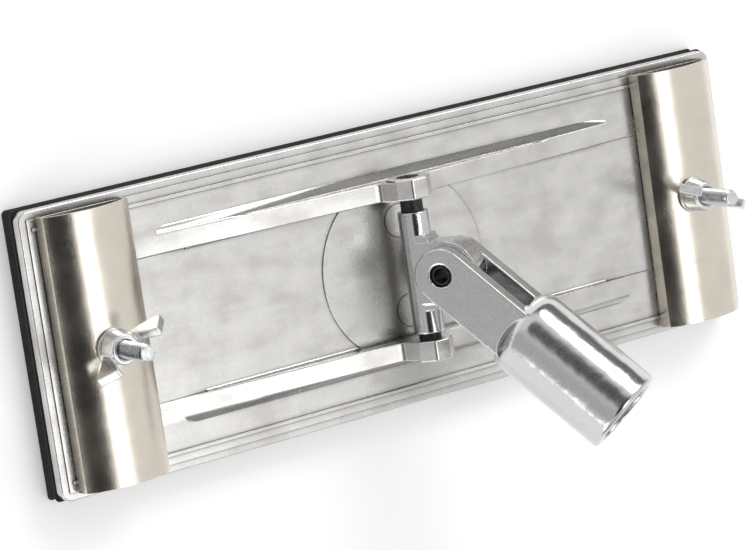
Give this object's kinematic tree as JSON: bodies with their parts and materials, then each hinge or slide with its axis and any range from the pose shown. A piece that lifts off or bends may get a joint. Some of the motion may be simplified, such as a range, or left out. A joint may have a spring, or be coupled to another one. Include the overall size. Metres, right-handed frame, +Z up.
{
  "type": "pole drywall sander head",
  "caption": "Pole sander head: cast plate with a foam pad, arched sheet clamps held by wing nuts, and a two-way swivel with a threaded pole socket.",
  "frame": {"origin": "centre of the foam pad's bottom face", "axes": "+X along the plate, towards the clamp that the handle tilts towards; +Y across the plate; +Z up, away from the sanding face"},
  "size_m": [0.2356, 0.0943, 0.0723],
  "materials": {
    "cast_aluminium": "satin, as cast and tumbled",
    "tumbled_aluminium": "bright, tumbled",
    "nickel_steel": "warm satin nickel plate",
    "zinc_steel": "bright zinc plate",
    "black_steel": "black oxide, lightly oiled",
    "black_foam": "matte closed-cell foam",
    "adhesive_film": "clear amber pressure-sensitive film"
  },
  "bodies": {
    "base": {"base_plate": "cast_aluminium", "pad_adhesive": "adhesive_film", "foam_pad": "black_foam", "left_clamp_bolt": "zinc_steel", "right_clamp_bolt": "zinc_steel", "swivel_pin": "black_steel"},
    "swivel": {"swivel_block": "tumbled_aluminium"},
    "handle": {"handle_socket": "tumbled_aluminium", "fork_pin": "black_steel"},
    "left_clamp": {"left_clamp": "nickel_steel", "left_washer": "zinc_steel"},
    "left_wing_nut": {"left_wing_nut": "zinc_steel"},
    "right_clamp": {"right_clamp": "nickel_steel", "right_washer": "zinc_steel"},
    "right_wing_nut": {"right_wing_nut": "zinc_steel"}
  },
  "joints": [
    {"name": "swivel_tilt", "type": "hinge", "parent": "base", "child": "swivel", "pos_m": [0, 0, 0.0184], "axis": [0, 1, 0], "range_deg": [-96, 24]},
    {"name": "handle_swing", "type": "hinge", "parent": "swivel", "child": "handle", "pos_m": [0.00541, -0.001, 0.02584], "axis": [0.809, 0, -0.5878], "range_deg": [-104.5, 15.5]},
    {"name": "left_clamp_lift", "type": "slide", "parent": "base", "child": "left_clamp", "axis": [0, 0, 1], "range_m": [0, 0.0104]},
    {"name": "left_wing_nut_turn", "type": "hinge", "parent": "left_clamp", "child": "left_wing_nut", "pos_m": [-0.0993, 0, 0.0184], "axis": [0, 0, 1], "range_deg": [0, 4681]},
    {"name": "right_clamp_lift", "type": "slide", "parent": "base", "child": "right_clamp", "axis": [0, 0, 1], "range_m": [0, 0.0104]},
    {"name": "right_wing_nut_turn", "type": "hinge", "parent": "right_clamp", "child": "right_wing_nut", "pos_m": [0.0993, 0, 0.0184], "axis": [0, 0, 1], "range_deg": [0, 4681]}
  ],
  "couplings": [
    {"joint": "left_wing_nut_turn", "follows": "left_clamp_lift", "rad_per_m": 7854},
    {"joint": "right_wing_nut_turn", "follows": "right_clamp_lift", "rad_per_m": 7854}
  ]
}
